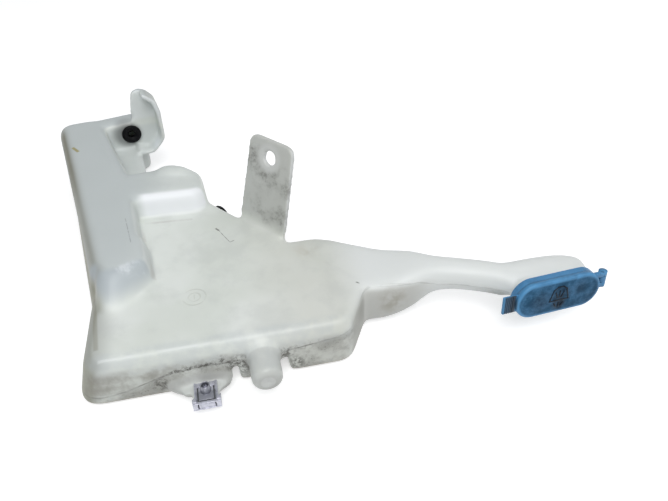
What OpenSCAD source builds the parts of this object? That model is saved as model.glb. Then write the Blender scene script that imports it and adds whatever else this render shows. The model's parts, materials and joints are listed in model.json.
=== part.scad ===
// Washer fluid reservoir: a slim blow-moulded tank that lies on its back, with a long filler tube,
// a hinged lid, two rubber grommets for the pumps and a spring clip nut on its front lug.

/* [Tank body] */
// Thickness of the blown wall
wall = 3; // [2:0.5:3.5]
// Height of the main face above the back
body_h = 46; // [42:1:52]
// Length of the front wall
front_len = 204; // [196:1:214]
// How far the right corner stands out past the front wall
corner_out = 26; // [20:1:30]
// How far the right corner lies behind the front wall
corner_back = 46; // [40:1:50]
// Start of the slanted far edge, across
slant_x = 109; // [104:1:114]
// Start of the slanted far edge, behind the front wall
slant_y = 195; // [190:1:200]
// Depth of the body behind the front wall
body_depth = 226; // [222:1:230]
// Rounding of the main face's edge
edge_r = 17; // [14:0.5:20]
// Part of a turn that the rounding makes before it meets the main face
edge_turn = 46; // [40:1:50]
// Rounding of the back's edge
foot_r = 5; // [3:0.5:7]
// How far the left wall spreads towards the back
left_draft = 11; // [4:1:12]
// Rounding of the body's corners in plan
corner_r = 16; // [15:0.5:19]

/* [Raised column and plateau] */
// Height of the raised column above the back
column_h = 68; // [62:1:74]
// Width of the column's front end
column_w = 47; // [42:1:52]
// Where the column's front end starts behind the front wall
column_y = 68; // [62:1:76]
// How far the column leans to the left at its far end
column_lean = 50; // [46:1:54]
// Distance from the front wall to the column's far end
column_far = 345; // [340:1:350]
// Height of the plateau above the back
plateau_h = 67; // [61:0.5:73]
// Where the plateau's sloped front wall starts behind the front wall
plateau_y = 160; // [154:1:166]
// Reach of the ramp in front of the column
ramp_reach = 47; // [40:1:50]
// How far the plateau's front wall slopes back
plateau_slope = 20; // [12:1:24]
// Distance from the front wall to the plateau's far edge
plateau_far = 233; // [229:1:236]

/* [Pump bay] */
// Height of the pump bay's floor
bay_floor_h = 35; // [30:1:40]
// Width of the bay's end block
bay_block_w = 46; // [43:1:50]
// Thickness of the bay's end block
bay_block_d = 26; // [22:1:30]
// Height of the end block
bay_block_h = 67.4; // [64:0.2:72]
// Width of the guard leaf beside the pump
guard_w = 31; // [27:1:34]
// Height of the guard leaf's top
guard_top = 102; // [94:1:110]
// Height of the guard leaf's lower edge
guard_low = 30; // [26:1:36]
// Thickness of the guard leaf
guard_t = 5; // [4:0.5:7]
// How far the guard's rim reaches forward
guard_rim = 15; // [10:1:20]

/* [Filler tube] */
// Outer radius of the filler tube
tube_r = 14; // [13:0.5:15]
// Height of the tube's axis
tube_z = 36; // [34:0.5:38]
// Distance of the mouth from the left end of the front wall
mouth_x = 380; // [376:0.5:388]
// Distance of the mouth behind the front wall
mouth_y = 5.5; // [3:0.5:9]
// Height of the mouth's middle
mouth_z = 37; // [36:0.5:38]
// Upward lean of the mouth
mouth_tilt = 8; // [0:1:12]
// Turn of the mouth's right end towards the back
mouth_turn = 4; // [0:1:8]
// Length of the mouth's rim
rim_l = 72; // [66:1:76]
// Width of the mouth's rim
rim_w = 26; // [24:0.5:28]
// Straight length of the mouth's rim
rim_h = 10; // [8:0.5:12]

/* [Lid and collar] */
// Width of the collar around the rim
collar_t = 3.6; // [3:0.2:5]
// Length of the collar's grip on the rim
collar_grip = 4.2; // [3.5:0.1:6]
// Thickness of the collar's lip over the rim's end
lip_t = 1.6; // [1.2:0.1:2.4]
// Width of the collar's lip over the rim's opening
lip_w = 0.8; // [0.4:0.1:1.4]
// Thickness of the lid
lid_t = 4.8; // [3.6:0.2:6]
// Rounding of the lid's front edge
lid_edge_r = 2; // [1:0.2:2.6]
// Depth of the lid's plug in the mouth
plug_h = 4; // [2.5:0.5:6]
// Thickness of the plug's wall
plug_t = 1.8; // [1.2:0.1:2.6]
// Play between the lid and what it closes
lid_gap = 0.4; // [0.3:0.05:0.6]
// Reach of the finger tab
tab_reach = 11; // [8:0.5:15]
// Width of the finger tab
tab_w = 16.5; // [12:0.5:18]
// Thickness of the finger tab
tab_t = 2.2; // [1.6:0.1:3]
// Ribs on the finger tab
tab_ribs = 5; // [3:1:7]
// Outer radius of the hinge knuckle and ears
knuckle_r = 3.6; // [3:0.1:4]
// Length of the collar's knuckle
knuckle_l = 5.4; // [4.5:0.1:6.5]
// Width of each ear of the lid
ear_w = 4.2; // [3.4:0.1:5]
// Radius of the lid's stub pins
pin_r = 1.4; // [1.1:0.05:1.6]
// Play around the stub pins
pin_gap = 0.1; // [0.1:0.05:0.3]

/* [Bracket tab] */
// Width of the bracket at its foot
bracket_foot_w = 55; // [51:1:58]
// Width of the bracket at its top
bracket_top_w = 49.5; // [44:0.5:52]
// Height of the bracket above the main face
bracket_h = 84; // [80:1:94]
// Thickness of the bracket
bracket_t = 5; // [4:0.5:7]
// Outward lean of the bracket
bracket_lean = 15; // [8:1:20]
// Distance of the bracket's middle along the slanted edge
bracket_at = 71.5; // [66:0.5:78]
// Radius of the bracket's hole
bracket_hole_r = 6.6; // [5:0.1:8]
// Height of the hole above the main face
bracket_hole_h = 67.5; // [60:0.5:72]

/* [Locating peg] */
// Radius of the peg
peg_r = 12; // [9:0.5:12]
// Length of the peg
peg_l = 26; // [22:1:32]
// Distance of the peg from the left end of the front wall
peg_x = 133; // [128:0.5:138]
// Height of the peg's axis
peg_z = 27; // [25:0.5:29]
// Half width of the notches under the front wall, right of the lug and the peg
notch_r = 3.5; // [3:0.5:4.5]
// Height of the notches up to their round tops
notch_h = 15; // [10:1:16]
// Depth of the notches
notch_d = 18; // [12:1:20]

/* [Clip lug and clip nut] */
// Distance of the lug's middle from the left end of the front wall
lug_x = 83; // [78:1:88]
// Height of the lug's middle plane
lug_z = 12; // [11:0.5:14]
// Width of the lug's foot at the front wall
lug_foot_w = 56; // [50:1:60]
// Height of the lug's root above its middle plane
lug_rise = 13; // [8:0.5:15]
// Reach of the lug past the front wall
lug_reach = 24; // [22:1:28]
// Distance of the lug's tongue from the left end of the front wall
tongue_x = 86.5; // [82:0.5:90]
// Width of the lug's tongue
tongue_w = 19.6; // [16:0.2:23]
// Thickness of the lug's tongue
tongue_t = 5; // [4:0.5:6]
// Length of the tongue that the clip covers
tongue_l = 19.5; // [18.5:0.5:20]
// Sheet thickness of the clip
clip_t = 1.2; // [0.8:0.1:1.6]
// Width of the clip
clip_w = 21; // [18:0.5:24]
// Play between the clip and the tongue
clip_gap = 0.2; // [0.1:0.05:0.3]
// Thread radius of the clip's barrel
thread_r = 2.5; // [2:0.25:3]
// Height of the clip's barrel above its leaf
barrel_h = 6; // [4:0.5:8]

/* [Rubber grommets] */
// Radius of a grommet's bore
grommet_bore_r = 5.6; // [4.5:0.1:6.2]
// Radius of a grommet's neck in the tank's wall
grommet_neck_r = 8; // [7:0.1:8.6]
// Radius of a grommet's flanges
grommet_flange_r = 10.4; // [9.6:0.1:11]
// Thickness of the outer flange
grommet_flange_t = 3.2; // [2.4:0.2:4]
// Length of a grommet inside the wall
grommet_tail = 3; // [2.2:0.2:4]
// Height of the pump grommet's axis
pump_z = 52.5; // [50:0.5:54]
// Distance of the pump grommet from the block's left end
pump_at = 31; // [27:1:34]
// Height of the rear grommet's axis
rear_z = 26.5; // [25:0.5:34]
// Distance of the rear grommet along the slanted edge
rear_at = 8; // [8:0.5:14]

/* [Hidden] */
$fn = 48;
slip = 0.02;
arc_steps = 4;
column_r = 14;
block_r = 9.5;
ring_steps = 24;
neck_turns = 27;

// Slanted far edge of the body, from its start to the right corner
right_corner = [front_len + corner_out, corner_back];
slant_start = [slant_x, slant_y];
slant_dir = (right_corner - slant_start) / norm(right_corner - slant_start);
slant_out = [-slant_dir.y, slant_dir.x];
slant_angle = atan2(slant_dir.y, slant_dir.x);

// Column: its far left corner and the direction of its far edge
column_back_left = [-1 - column_lean, column_far];
block_angle = 10;
block_dir = [cos(block_angle), sin(block_angle)];
block_out = [sin(block_angle), -cos(block_angle)];
block_left = column_back_left + [47, 8] + block_out * bay_block_d;
pump_seat = block_left + block_dir * pump_at;
rear_boss = 2.5;
peg_shoulder = 1.2;
peg_round = 5;
pump_groove = wall + 0.1;
screw_at = tongue_l * 0.55;
rear_groove = rear_boss + wall - 0.3;
rear_seat = slant_start + slant_dir * rear_at + slant_out * rear_boss;

// Sizes of the lid's stack, counted outward from the end of the rim
collar_l = rim_l + 2 * collar_t + 2 * slip;
collar_w = rim_w + 2 * collar_t + 2 * slip;
rim_bore_l = rim_l - 2 * wall;
rim_bore_w = rim_w - 2 * wall;
lip_bore_l = rim_bore_l - 2 * lip_w;
lip_bore_w = rim_bore_w - 2 * lip_w;
lid_low = lip_t + lid_gap;
hinge_x = collar_l / 2 + knuckle_r + lid_gap;
hinge_z = lip_t;
hinge_y = 5;

// Planes where the far end, the filler tube and the filler horn join on
far_cut = plateau_far + 7;
neck_cut = right_corner.x + 4;
horn_cut = mouth_x - 46;

// Corners of each block in plan, counter-clockwise, at its foot and at its top
body_foot = [
    [-left_draft, 0],
    [front_len, 0],
    right_corner,
    slant_start - slant_dir * 22,
    [1, slant_start.y + 17]
];
body_top = [
    [3, 1],
    [front_len - 1, 1],
    right_corner - [1, 0],
    slant_start - slant_dir * 22 - [1, 1],
    [9, slant_start.y + 16]
];
column_foot = [
    [-1, column_y],
    [4 + column_w, column_y + 4],
    [column_w - 12, body_depth],
    column_back_left + [51, 8],
    column_back_left + [2, 0]
];
column_top = [
    [9, column_y + 14],
    [2 + column_w, column_y + 20],
    [column_w - 13, body_depth],
    column_back_left + [50, 7],
    column_back_left + [5, 0]
];
ramp_foot = [
    [7, column_y - ramp_reach],
    [column_w + 11, column_y + 9],
    [column_w + 5, column_y + 62],
    [7, column_y + 62]
];
ramp_top = [
    [12, column_y + 6],
    [column_w + 4, column_y + 22],
    [column_w, column_y + 62],
    [12, column_y + 62]
];
plateau_foot = [
    [24, plateau_y + 4],
    [slant_x + 1, plateau_y],
    [slant_x - 1, plateau_far - 12],
    [66, plateau_far],
    [20, plateau_far - 4]
];
plateau_top = [
    [24, plateau_y + plateau_slope + 2],
    [slant_x - 4, plateau_y + plateau_slope],
    [slant_x - 7, plateau_far - 12],
    [66, plateau_far - 2],
    [20, plateau_far - 6]
];
bay_floor_plan = [
    [0, body_depth - 30],
    [column_w + 3, body_depth - 26],
    [column_w - 5, column_far - 48],
    block_left + block_dir * 36 - block_out * 6,
    block_left - block_dir * 26 - block_out * 11
];
block_plan = [
    block_left - block_dir * 24,
    block_left + block_dir * bay_block_w,
    block_left + block_dir * bay_block_w - block_out * bay_block_d,
    block_left - block_dir * 24 - block_out * (bay_block_d - 6)
];

// Place of the whole part: the middle of its footprint
part_left = min([
    for (p = rounded_plan(blend(column_foot, column_top, foot_r / column_h), column_r, 0)) p.x
]);
ear_low = hinge_y - knuckle_l / 2 - lid_gap - ear_w;
part_right = mouth_x + cos(mouth_turn) * hinge_x + knuckle_r
    + sin(mouth_turn) * (hinge_z * cos(mouth_tilt) - ear_low * sin(mouth_tilt));
part_front = -max(peg_l, lug_reach + clip_gap + clip_t);
part_far = max([for (p = rounded_plan(block_plan, block_r, 0)) p.y]);
part_mid = [(part_left + part_right) / 2, (part_front + part_far) / 2];

// Filler neck from funnel to mouth: across, back, heading, half width, lower and upper edge, squareness
neck_run = [
    [front_len - 36, 80, 0, 39, 1.5, body_h - 1.6, 5],
    [front_len - 4, 79, 0, 40, 1.5, body_h - 1.2, 5],
    [front_len + 24, 69, 0, 34, 1.6, body_h - 0.8, 5],
    [front_len + 46, 61.5, -4, 28, 3, body_h - 0.3, 4.4],
    [front_len + 67.5, 57, -8, 22, 9, body_h + 3.6, 3.4],
    [front_len + 84.5, 52.5, -15, tube_r + 1.4, tube_z - tube_r - 2.4, tube_z + tube_r, 2.4],
    [front_len + 102, 47.5, -19, tube_r, tube_z - tube_r, tube_z + tube_r, 2],
    [front_len + 126, 38, -20, tube_r, tube_z - tube_r, tube_z + tube_r, 2],
    [mouth_x - 36, 31, -18, tube_r + 0.4, tube_z - tube_r, tube_z + tube_r, 2],
    [mouth_x - 26, mouth_y + 24.5, -43, 19.3, mouth_z - 13.5, mouth_z + 13.5, 2.1],
    [mouth_x - 6, mouth_y + 22.6, -63, 32.4, mouth_z - 13, mouth_z + 13.5, 2.3],
    [mouth_x + 3.5, mouth_y + 16.8, -73, 39.2, mouth_z - 13, mouth_z + 13, 2.6],
    [
        mouth_x - 4.5 * sin(mouth_turn), mouth_y + 4.5 * cos(mouth_turn), mouth_turn - 90,
        rim_l / 2 - 0.6, mouth_z - rim_w / 2 - 0.4, mouth_z + rim_w / 2 - 0.9, 3.2
    ]
];

// Ridge along the plateau's far edge
ridge_run = [
    [54, plateau_far - 15, 0, 5, plateau_h - 16, plateau_h - 2, 3],
    [68, plateau_far - 14, -4, 8, plateau_h - 18, plateau_h + 6, 3],
    [87, plateau_far - 18.5, -12, 8, plateau_h - 18, plateau_h + 5, 3],
    [98, plateau_far - 22, -16, 5, plateau_h - 16, plateau_h - 3, 3]
];

// Lug on the front wall, from its foot to the root of its tongue
lug_run = [
    [lug_x, 9, -90, lug_foot_w / 2 + 1, 3, lug_z + lug_rise + 4, 3],
    [lug_x, 0, -90, lug_foot_w / 2 - 2, 3.5, lug_z + lug_rise, 3],
    [lug_x, -3.2, -90, lug_foot_w / 2 - 4, lug_z - 7, lug_z + 5.6, 3.4],
    [lug_x + 1.7, -lug_reach + tongue_l - 1.7, -90, lug_foot_w / 2 - 7, lug_z - 6, lug_z + 2.1, 4],
    [tongue_x - 1.5, -lug_reach + tongue_l - 6, -90, tongue_w / 2 + 6, lug_z - 4, lug_z + 2.1, 4],
    [tongue_x - 2.5, -lug_reach + tongue_l - 9.4, -90, tongue_w / 2 + 3.4, lug_z - 2, lug_z + 2, 4]
];

// Round corner i of a closed outline, pulled inward by inset
function corner_arc(plan, i, r, inset, steps) =
    let (
        n = len(plan),
        into = plan[i] - plan[(i + n - 1) % n],
        away = plan[(i + 1) % n] - plan[i],
        a0 = atan2(into.y, into.x) - 90,
        turn = (atan2(away.y, away.x) - 90 - a0 + 720) % 360,
        half = (180 - turn) / 2,
        bisector = a0 + turn / 2 + 180,
        centre = plan[i] + r / sin(half) * [cos(bisector), sin(bisector)]
    )
    [for (k = [0 : steps]) centre + (r - inset) * [cos(a0 + turn * k / steps), sin(a0 + turn * k / steps)]];

function rounded_plan(plan, r, inset, steps = arc_steps) =
    [for (i = [0 : len(plan) - 1]) each corner_arc(plan, i, r, inset, steps)];

// Inset and height of each layer of a rounded slab, from its underside to its top
function slab_layers(low, high, foot, edge, turn) =
    [
        for (k = [0 : arc_steps])
            let (a = 90 * k / arc_steps)
            [foot * (1 - sin(a)), low + foot * (1 - cos(a))],
        for (k = [0 : arc_steps])
            let (a = turn * k / arc_steps)
            [edge * (1 - cos(a)), high - edge * (sin(turn) - sin(a))]
    ];

// Outline between the foot and the top of a slab
function blend(foot, top, t) = [for (i = [0 : len(foot) - 1]) foot[i] + (top[i] - foot[i]) * t];

// Ring of a tube-like run: centre, heading, half width, lower and upper edge, squareness
function super_ring(s, inset) =
    [
        for (k = [0 : ring_steps - 1])
            let (
                a = 360 * k / ring_steps,
                across = sign(cos(a)) * pow(abs(cos(a)), 2 / s[6]) * (s[3] - inset),
                up = sign(sin(a)) * pow(abs(sin(a)), 2 / s[6]) * ((s[5] - s[4]) / 2 - inset)
            )
            [s[0] - sin(s[2]) * across, s[1] + cos(s[2]) * across, (s[4] + s[5]) / 2 + up]
    ];

// Smooth curve through the stations of a run, at place t from 0 to 1
function along(run, t) =
    let (
        last = len(run) - 1,
        i = min(floor(t * last), last - 1),
        u = t * last - i,
        p0 = run[max(i - 1, 0)],
        p1 = run[i],
        p2 = run[i + 1],
        p3 = run[min(i + 2, last)]
    )
    ((2 * p1) + (p2 - p0) * u + (2 * p0 - 5 * p1 + 4 * p2 - p3) * u * u
        + (3 * p1 - p0 - 3 * p2 + p3) * u * u * u) / 2;

// Closed solid through a stack of rings with equal point counts
module loft(rings) {
    n = len(rings[0]);
    last = len(rings) - 1;
    sides = [
        for (k = [0 : last - 1])
            for (i = [0 : n - 1])
                let (j = (i + 1) % n)
                each [
                    [k * n + i, (k + 1) * n + i, (k + 1) * n + j],
                    [k * n + i, (k + 1) * n + j, k * n + j]
                ]
    ];
    start = [for (i = [0 : n - 1]) i];
    end = [for (i = [n - 1 : -1 : 0]) last * n + i];
    polyhedron([for (ring = rings) each ring], concat(sides, [start, end]));
}

// Rounded slab between two plans, with inset as the distance inward from its outer skin
module slab(foot, top, low, high, r, edge, turn = 90, inset = 0) {
    layers = slab_layers(low + inset, high - inset, foot_r - inset * 0.6, edge - inset * 0.6, turn);
    loft([
        for (l = layers)
            let (plan = blend(foot, top, (l[1] - low) / (high - low)))
            [for (p = rounded_plan(plan, r, l[0] + inset)) [p.x, p.y, l[1]]]
    ]);
}

module run_loft(run, turns, inset = 0) {
    loft([for (k = [0 : turns]) super_ring(along(run, k / turns), inset)]);
}

// Oblong outline with round ends
module oblong(l, w) {
    square([l - w, w], center = true);
    for (side = [-1, 1])
        translate([side * (l - w) / 2, 0])
            circle(d = w);
}

// Solid of a radial profile carried round an oblong of centre distance run
module racetrack(run) {
    for (side = [0, 180])
        rotate(side)
            translate([run / 2, 0, 0])
                rotate(-90)
                    rotate_extrude(angle = 180)
                        children();
    for (side = [0, 180])
        rotate(side)
            rotate([90, 0, 90])
                linear_extrude(run, center = true)
                    children();
}

module at_mouth() {
    translate([mouth_x, mouth_y, mouth_z])
        rotate([0, 0, mouth_turn])
            rotate([90 - mouth_tilt, 0, 0])
                children();
}

module at_pump_seat() {
    translate([pump_seat.x, pump_seat.y, pump_z])
        rotate([0, 0, block_angle])
            rotate([90, 0, 0])
                children();
}

module at_rear_seat() {
    translate([rear_seat.x, rear_seat.y, rear_z])
        rotate([0, 0, slant_angle])
            rotate([-90, 0, 0])
                children();
}

module at_bracket() {
    foot = slant_start + slant_dir * bracket_at - slant_out * 4;
    translate([foot.x, foot.y, body_h])
        rotate([0, 0, slant_angle])
            rotate([-bracket_lean, 0, 0])
                rotate([90, 0, 0])
                    children();
}

// Flat main block, whose crisp edge runs round the main face
module body_form(inset = 0) {
    slab(body_foot, body_top, 0, body_h, r = corner_r, edge = edge_r, turn = edge_turn, inset = inset);
}

// Column and bay floor, which run on from the tank's middle into its far end
module shared_form(inset) {
    slab(column_foot, column_top, 0.6, column_h, r = column_r, edge = 9, inset = inset);
    slab(bay_floor_plan, bay_floor_plan, 0.9, bay_floor_h, r = 12, edge = 7, inset = inset);
}

// Skin of the tank's middle, or its hollow where inset is the wall
module middle_form(inset = 0) {
    body_form(inset);
    shared_form(inset);
    slab(ramp_foot, ramp_top, body_h - 8, column_h - 0.7, r = 12, edge = 5, inset = inset);
    slab(plateau_foot, plateau_top, 1.2, plateau_h, r = 14, edge = 8, inset = inset);
    run_loft(neck_run, neck_turns, inset);
    run_loft(ridge_run, 9, inset);
}

// Skin of the far end with the pump bay, or its hollow where inset is the wall
module far_form(inset = 0) {
    shared_form(inset);
    slab(block_plan, block_plan, 1.5, bay_block_h, r = block_r, edge = 6, inset = inset);
}

// Everything on one side of a plane across the part
module half_space(at, axis, side) {
    far = 1000;
    shift = [for (k = [0 : 2]) k == axis ? at - (side < 0 ? far : 0) : -far / 2];
    translate(shift)
        cube(far);
}

// Round-topped notches in the lower front edge, grown by inset for the hollow
module notches(inset = 0) {
    half = notch_r + inset;
    for (x = [lug_x + lug_foot_w / 2 - 1.5, peg_x + peg_r + 4.5])
        translate([x, notch_d + inset, 0])
            rotate([90, 0, 0]) {
                translate([0, notch_h, 0])
                    cylinder(r = half, h = notch_d + 10);
                translate([-half, -1, 0])
                    cube([2 * half, notch_h + 1, notch_d + 10]);
            }
}

// Cupped leaf that guards the pump: a back plate with a rim along its right side
module guard_leaf() {
    foot = block_left + block_dir * (bay_block_w - 11) + block_out * 0.6;
    corners = [
        [-2, guard_low],
        [guard_w - 15, guard_low],
        [guard_w, guard_low + 16],
        [guard_w, guard_top - 24],
        [guard_w - 3.5, guard_top - 9],
        [guard_w - 13, guard_top],
        [5, guard_top + 1],
        [0, guard_top - 26]
    ];
    translate([foot.x, foot.y, 0])
        rotate([0, 0, block_angle])
            rotate([90, 0, 0])
                difference() {
                    translate([0, 0, -guard_t])
                        linear_extrude(guard_rim + guard_t)
                            polygon(rounded_plan(corners, 8, 0));
                    linear_extrude(guard_rim + 1)
                        polygon(rounded_plan(corners, 8, guard_t));
                    linear_extrude(guard_rim + 1)
                        translate([-20, guard_low + guard_t + 4])
                            square([20 + guard_w - 17, guard_top + 10]);
                }
}

module bracket_tab() {
    low = -14;
    corners = [
        [-bracket_foot_w / 2, low],
        [bracket_foot_w / 2, low],
        [bracket_top_w / 2, bracket_h],
        [-bracket_top_w / 2, bracket_h]
    ];
    at_bracket()
        translate([0, 0, -bracket_t])
            linear_extrude(bracket_t)
                polygon(rounded_plan(corners, 8.5, 0, 6));
}

module peg() {
    translate([peg_x, 8, peg_z])
        rotate([90, 0, 0]) {
            cylinder(r = peg_r + 2.2, h = 8 + peg_shoulder);
            rotate_extrude()
                difference() {
                    square([peg_r, peg_l + 8]);
                    translate([peg_r - peg_round, peg_l + 8 - peg_round])
                        difference() {
                            square(peg_round + 1);
                            circle(peg_round);
                        }
                    translate([0, peg_l + 10.4])
                        circle(4);
                }
        }
}

module tongue() {
    translate([tongue_x - tongue_w / 2, -lug_reach, lug_z - tongue_t / 2])
        cube([tongue_w, tongue_l, tongue_t]);
}

module rim(l, w, low, high) {
    at_mouth()
        translate([0, 0, low])
            linear_extrude(high - low)
                oblong(l, w);
}

module tank() {
    color("#d8ddd8")
        difference() {
            union() {
                difference() {
                    middle_form();
                    notches();
                }
                bracket_tab();
                peg();
                at_rear_seat()
                    translate([0, 0, -9])
                        cylinder(r = grommet_flange_r - 1, h = 9);
            }
            difference() {
                middle_form(wall);
                notches(wall);
            }
            at_rear_seat() {
                translate([0, 0, -14])
                    cylinder(r = grommet_neck_r + slip, h = 20);
                translate([0, 0, -rear_groove - 9])
                    cylinder(r = grommet_neck_r + 1.2, h = 9);
            }
            at_bracket()
                translate([0, bracket_hole_h, -20])
                    cylinder(r = bracket_hole_r, h = 40);
            half_space(far_cut, 1, 1);
            half_space(neck_cut, 0, 1);
        }
}

module pump_end() {
    color("#d8ddd8")
        difference() {
            union() {
                far_form();
                guard_leaf();
            }
            far_form(wall);
            at_pump_seat() {
                translate([0, 0, -12])
                    cylinder(r = grommet_neck_r + slip, h = 24);
                translate([0, 0, -slip])
                    cylinder(r = grommet_flange_r + 0.3, h = 8);
                translate([0, 0, -pump_groove - 9])
                    cylinder(r = grommet_neck_r + 1.2, h = 9);
            }
            half_space(far_cut, 1, -1);
        }
}

module filler_tube() {
    color("#d8ddd8")
        difference() {
            run_loft(neck_run, neck_turns);
            run_loft(neck_run, neck_turns, wall);
            half_space(neck_cut, 0, -1);
            half_space(horn_cut, 0, 1);
        }
}

module filler_horn() {
    color("#d8ddd8")
        difference() {
            union() {
                run_loft(neck_run, neck_turns);
                rim(rim_l, rim_w, -rim_h, 0);
            }
            run_loft(neck_run, neck_turns, wall);
            rim(rim_bore_l, rim_bore_w, -rim_h - 2, 1);
            half_space(horn_cut, 0, -1);
        }
}

// Lug on the front wall with the flat tongue that carries the clip nut
module clip_lug() {
    color("#d8ddd8")
        difference() {
            union() {
                run_loft(lug_run, 10);
                tongue();
            }
            body_form();
            translate([tongue_x, -lug_reach + screw_at, lug_z - 10])
                cylinder(r = thread_r + 1.2, h = 20);
        }
}

module filler_collar() {
    color("#3f86c0")
        at_mouth()
            difference() {
                union() {
                    translate([0, 0, -collar_grip])
                        linear_extrude(collar_grip + lip_t)
                            oblong(collar_l, collar_w);
                    translate([hinge_x, hinge_y + knuckle_l / 2, hinge_z])
                        rotate([90, 0, 0])
                            cylinder(r = knuckle_r, h = knuckle_l);
                    translate([collar_l / 2 - 6, hinge_y - knuckle_l / 2, -collar_grip + 0.6])
                        cube([hinge_x - collar_l / 2 + 6, knuckle_l, collar_grip - 0.6]);
                }
                translate([0, 0, -collar_grip - 1])
                    linear_extrude(collar_grip + 1)
                        oblong(rim_l + 2 * slip, rim_w + 2 * slip);
                translate([0, 0, -1])
                    linear_extrude(lip_t + 2)
                        oblong(lip_bore_l, lip_bore_w);
                translate([hinge_x, hinge_y + knuckle_l, hinge_z])
                    rotate([90, 0, 0])
                        cylinder(r = pin_r + pin_gap, h = 2 * knuckle_l);
            }
}

// Half section of the lid's plate with its rounded front edge, out to the side
module lid_profile() {
    difference() {
        translate([0, lid_low])
            square([collar_w / 2, lid_t]);
        translate([collar_w / 2 - lid_edge_r, lid_low + lid_t - lid_edge_r])
            difference() {
                square(lid_edge_r + 1);
                circle(lid_edge_r);
            }
    }
}

module lid_ear(side) {
    inner = knuckle_l / 2 + lid_gap;
    y0 = side > 0 ? inner : -inner - ear_w;
    translate([hinge_x, y0 + ear_w, hinge_z])
        rotate([90, 0, 0])
            cylinder(r = knuckle_r, h = ear_w);
    translate([collar_l / 2 - 9, y0, lid_low])
        cube([hinge_x - collar_l / 2 + 9, ear_w, knuckle_r - lid_gap]);
    translate([hinge_x, side * (inner + ear_w / 2), hinge_z])
        rotate([90 * side, 0, 0])
            cylinder(r = pin_r, h = ear_w / 2 + lid_gap + knuckle_l * 0.35);
}

module finger_tab() {
    tip = collar_l / 2 + tab_reach;
    translate([-tip, -tab_w / 2, lid_low])
        cube([tab_reach + 6, tab_w, tab_t]);
    for (k = [0 : tab_ribs])
        translate([-tip + 0.8 + k * (tab_reach - 3) / tab_ribs, tab_w / 2, lid_low + tab_t])
            rotate([90, 0, 0])
                cylinder(r = 0.7, h = tab_w);
}

module filler_lid() {
    color("#4a90cc")
        at_mouth() {
            difference() {
                union() {
                    racetrack(collar_l - collar_w)
                        lid_profile();
                    translate([0, 0, lip_t - plug_h])
                        linear_extrude(plug_h + lid_gap + 1)
                            oblong(lip_bore_l - 2 * lid_gap, lip_bore_w - 2 * lid_gap);
                }
                translate([0, 0, lip_t - plug_h - 1])
                    linear_extrude(plug_h + lid_gap + 1)
                        oblong(lip_bore_l - 2 * (lid_gap + plug_t), lip_bore_w - 2 * (lid_gap + plug_t));
            }
            translate([0, hinge_y, 0]) {
                lid_ear(1);
                lid_ear(-1);
            }
            finger_tab();
        }
}

// Rubber grommet along +Z: outer flange, groove in the wall, lead-in flange inside and a through bore
module grommet(groove) {
    rotate_extrude()
        polygon([
            [grommet_bore_r, -groove - grommet_tail],
            [grommet_neck_r - 1.2, -groove - grommet_tail],
            [grommet_neck_r + 0.9, -groove],
            [grommet_neck_r, -groove],
            [grommet_neck_r, 0],
            [grommet_flange_r, 0],
            [grommet_flange_r, grommet_flange_t - 0.8],
            [grommet_flange_r - 0.8, grommet_flange_t],
            [grommet_bore_r + 1.1, grommet_flange_t],
            [grommet_bore_r, grommet_flange_t - 1.1]
        ]);
}

module pump_grommet() {
    color("#161616")
        at_pump_seat()
            grommet(pump_groove);
}

module rear_grommet() {
    color("#161616")
        at_rear_seat()
            grommet(rear_groove);
}

// Folded sheet clip: two leaves around the tongue, a bend in front and a threaded barrel on the upper leaf
module clip_nut() {
    inside = tongue_t + 2 * clip_gap;
    upper_l = tongue_l - 1.2;
    lower_l = tongue_l - 8.7;
    tip_y = -lug_reach - clip_gap;
    color("#8a8d92")
        translate([tongue_x, tip_y, lug_z])
            difference() {
                union() {
                    translate([-clip_w / 2, -clip_t, inside / 2])
                        cube([clip_w, upper_l + clip_t, clip_t]);
                    translate([-clip_w / 2, -clip_t, -inside / 2 - clip_t])
                        cube([clip_w, lower_l + clip_t, clip_t]);
                    translate([-clip_w / 2, -clip_t, -inside / 2 - clip_t])
                        cube([clip_w, clip_t, inside + 2 * clip_t]);
                    translate([0, clip_gap + screw_at, inside / 2])
                        cylinder(r = thread_r + 1.6, h = clip_t + barrel_h);
                    for (side = [-1, 1])
                        translate([side * (clip_w / 2 - 1.4) - 1.4, 2, inside / 2 + clip_t - 0.1])
                            cube([2.8, 3.4, 2.2]);
                }
                translate([0, clip_gap + screw_at, 0])
                    cylinder(r = thread_r, h = inside + 2 * barrel_h);
                translate([0, clip_gap + screw_at, -inside])
                    cylinder(r = thread_r + 0.8, h = inside);
            }
}

translate([-part_mid.x, -part_mid.y, 0]) {
    tank();
    pump_end();
    filler_tube();
    filler_horn();
    clip_lug();
    filler_collar();
    filler_lid();
    pump_grommet();
    rear_grommet();
    clip_nut();
}
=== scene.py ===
import json
import math

import bmesh
import bpy
from mathutils import Matrix, Vector
from mathutils.bvhtree import BVHTree


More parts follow.
